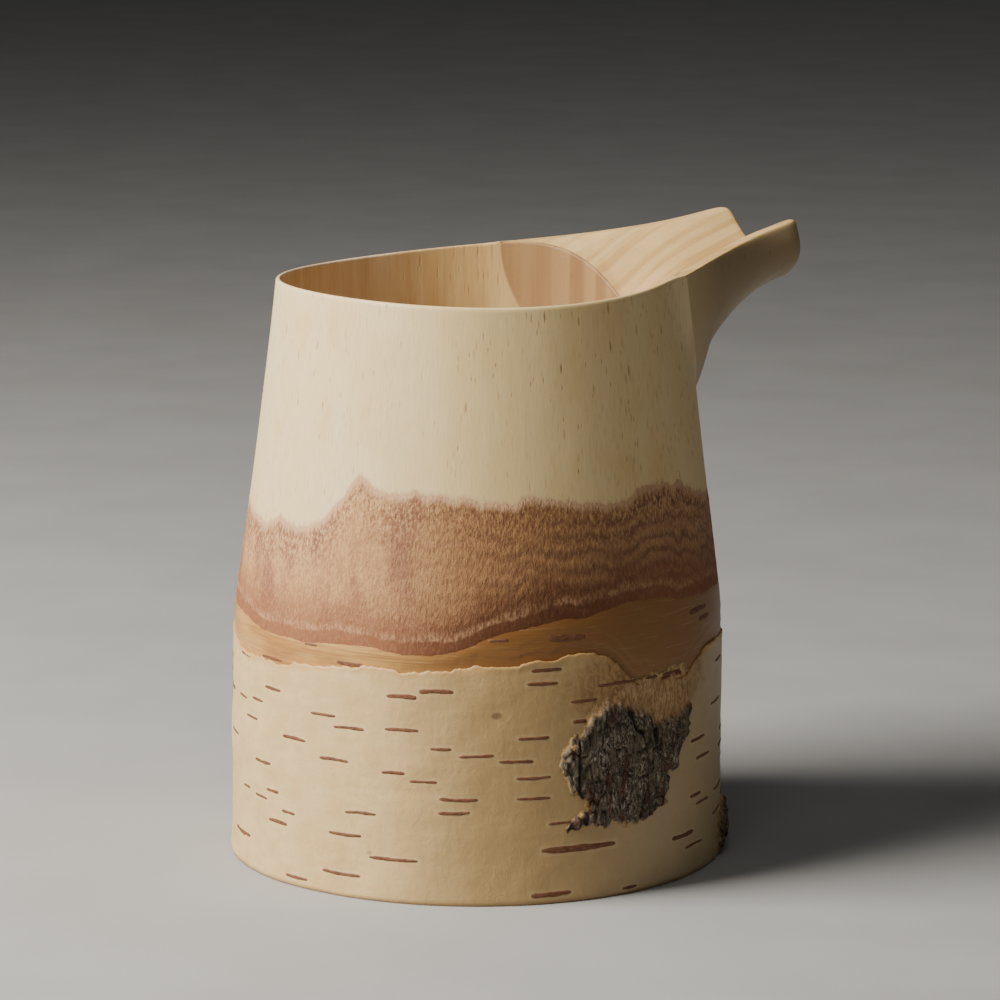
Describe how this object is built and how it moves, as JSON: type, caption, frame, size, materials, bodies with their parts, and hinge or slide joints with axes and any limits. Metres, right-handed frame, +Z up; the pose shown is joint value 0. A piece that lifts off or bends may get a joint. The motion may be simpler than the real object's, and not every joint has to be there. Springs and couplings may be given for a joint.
{
  "type": "spouted wooden vessel",
  "caption": "Round birch log vessel with bark left on its lower part, a carved taper to a thin lip and an open pouring spout.",
  "frame": {"origin": "centre of the base, on the axis of the log", "axes": "+Z up along the log, +X towards the tip of the spout"},
  "size_m": [0.178, 0.1524, 0.188],
  "materials": {
    "wall_wood": "cut birch, satin from the knife",
    "spout_wood": "cut birch, satin",
    "bottom_wood": "cut birch, matt",
    "inner_bark": "granular, matt",
    "cork": "thin layered cork, satin",
    "white_bark": "papery bark with lenticels, satin",
    "rough_bark": "fissured corky bark, matt"
  },
  "bodies": {
    "root": {"wall": "wall_wood", "spout": "spout_wood", "bottom_disc": "bottom_wood", "inner_bark": "inner_bark", "cork_layer": "cork", "white_bark": "white_bark", "rough_patch_front": "rough_bark", "rough_patch_side": "rough_bark"}
  },
  "joints": []
}
